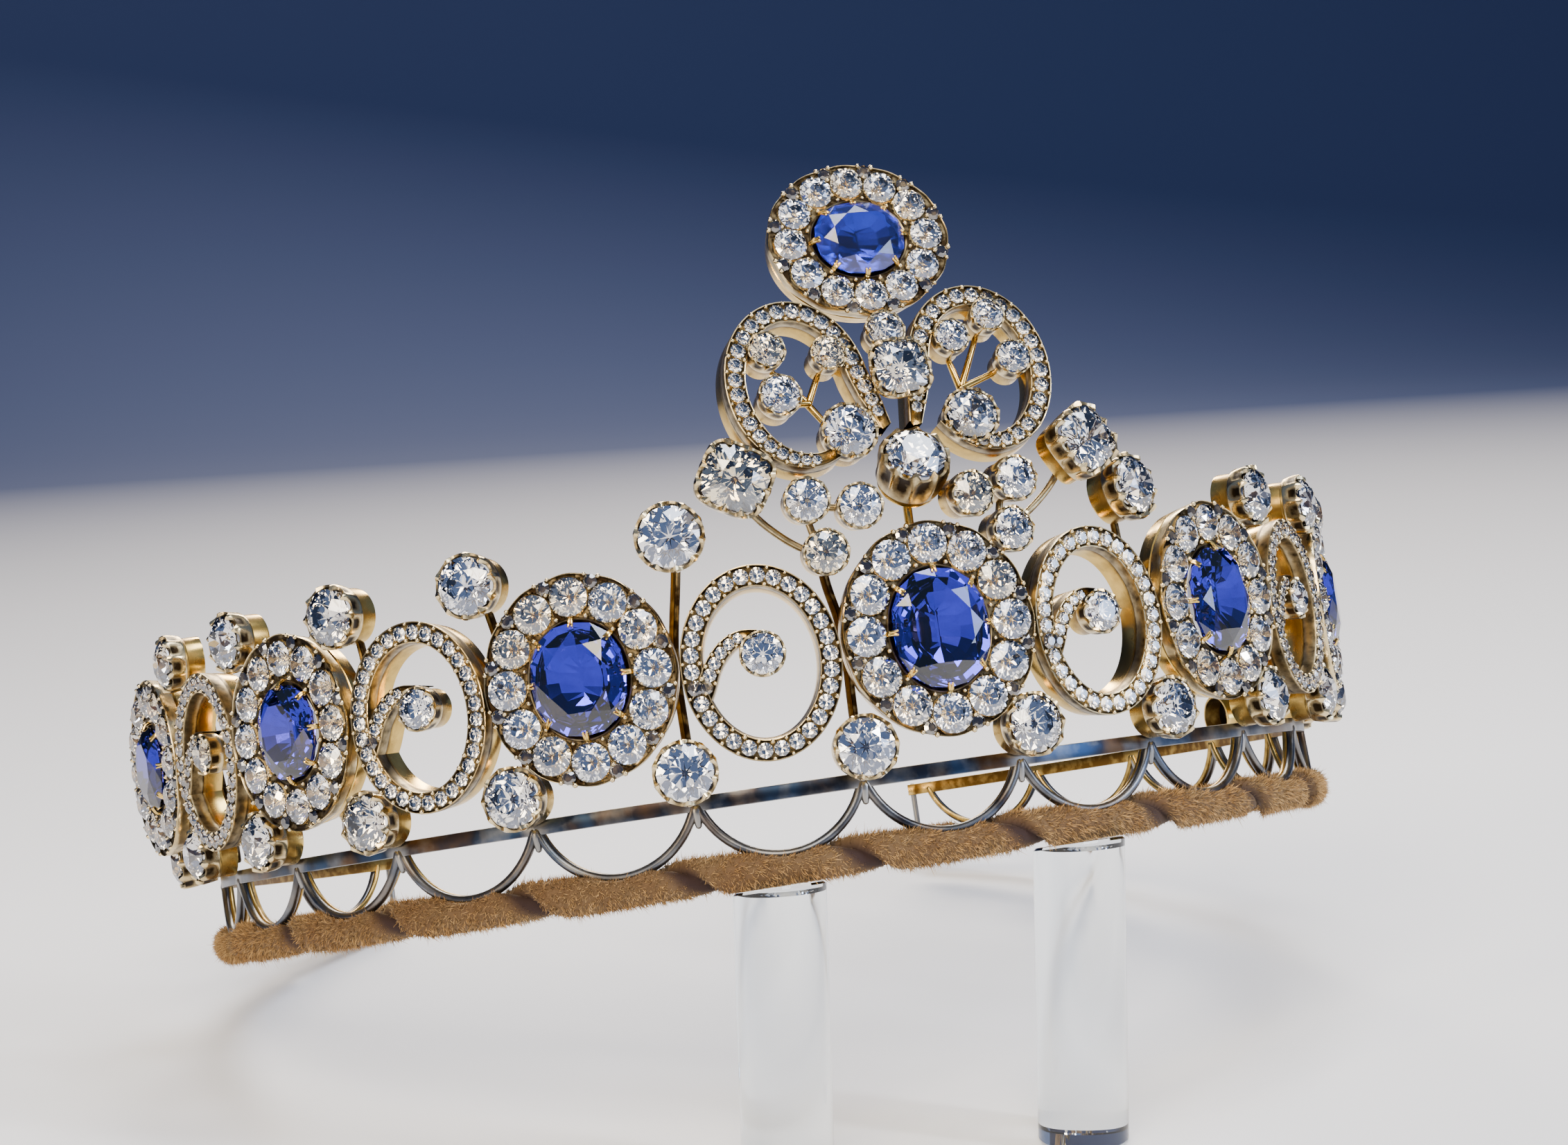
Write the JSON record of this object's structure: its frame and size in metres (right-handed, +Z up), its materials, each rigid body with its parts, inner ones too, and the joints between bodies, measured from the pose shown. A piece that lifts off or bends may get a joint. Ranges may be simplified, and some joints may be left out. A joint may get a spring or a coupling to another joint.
{
  "type": "diadem on clear post stand",
  "caption": "Openwork diadem of oval sapphire clusters, diamond scrolls and a leaning heart-shaped crest on a velvet-wound ring that is open at the back, propped up at the front on clear posts.",
  "frame": {"origin": "on the floor, at the middle of the footprint of the diadem and its posts", "axes": "+Z up; the front of the diadem faces -Y and is raised on the posts; +X is the viewer's right"},
  "size_m": [0.1706, 0.138, 0.1176],
  "materials": {
    "oxidised_silver": "dark oxidised silver, polished on the edges",
    "brown_velvet": "worn velvet pile",
    "sapphire": "faceted and polished",
    "diamond_set_silver": "diamonds bead-set in silver with a gold back",
    "diamond_in_collet": "diamond in a silver cup on a gold tube",
    "clear_acrylic": "polished clear rod"
  },
  "bodies": {
    "root": {"frame_band": "oxidised_silver", "velvet_binding": "brown_velvet", "cluster_middle_halo": "diamond_set_silver", "cluster_middle_sapphire": "sapphire", "cluster_left_1_halo": "diamond_set_silver", "cluster_left_1_sapphire": "sapphire", "cluster_left_2_halo": "diamond_set_silver", "cluster_left_2_sapphire": "sapphire", "cluster_left_3_halo": "diamond_set_silver", "cluster_left_3_sapphire": "sapphire", "cluster_right_1_halo": "diamond_set_silver", "cluster_right_1_sapphire": "sapphire", "cluster_right_2_halo": "diamond_set_silver", "cluster_right_2_sapphire": "sapphire", "cluster_right_3_halo": "diamond_set_silver", "cluster_right_3_sapphire": "sapphire", "scroll_left_1": "diamond_set_silver", "scroll_left_2": "diamond_set_silver", "scroll_left_3": "diamond_set_silver", "scroll_right_1": "diamond_set_silver", "scroll_right_2": "diamond_set_silver", "scroll_right_3": "diamond_set_silver", "low_collet_left_1": "diamond_in_collet", "low_collet_left_2": "diamond_in_collet", "low_collet_left_3": "diamond_in_collet", "low_collet_left_4": "diamond_in_collet", "low_collet_left_5": "diamond_in_collet", "low_collet_left_6": "diamond_in_collet", "low_collet_left_7": "diamond_in_collet", "low_collet_right_1": "diamond_in_collet", "low_collet_right_2": "diamond_in_collet", "low_collet_right_3": "diamond_in_collet", "low_collet_right_4": "diamond_in_collet", "low_collet_right_5": "diamond_in_collet", "low_collet_right_6": "diamond_in_collet", "low_collet_right_7": "diamond_in_collet", "tall_collet_left_1": "diamond_in_collet", "tall_collet_left_2": "diamond_in_collet", "tall_collet_left_3": "diamond_in_collet", "tall_collet_left_4": "diamond_in_collet", "tall_collet_left_5": "diamond_in_collet", "tall_collet_right_1": "diamond_in_collet", "tall_collet_right_2": "diamond_in_collet", "tall_collet_right_3": "diamond_in_collet", "tall_collet_right_4": "diamond_in_collet", "tall_collet_right_5": "diamond_in_collet", "side_sprig_left": "diamond_in_collet", "side_sprig_right": "diamond_in_collet", "crest_scroll_left": "diamond_set_silver", "crest_scroll_right": "diamond_set_silver", "crest_knop": "diamond_in_collet", "crest_cushion": "diamond_in_collet", "crest_bud": "diamond_in_collet", "crest_cluster_halo": "diamond_set_silver", "crest_cluster_sapphire": "sapphire", "post_left": "clear_acrylic", "post_right": "clear_acrylic"}
  },
  "joints": []
}
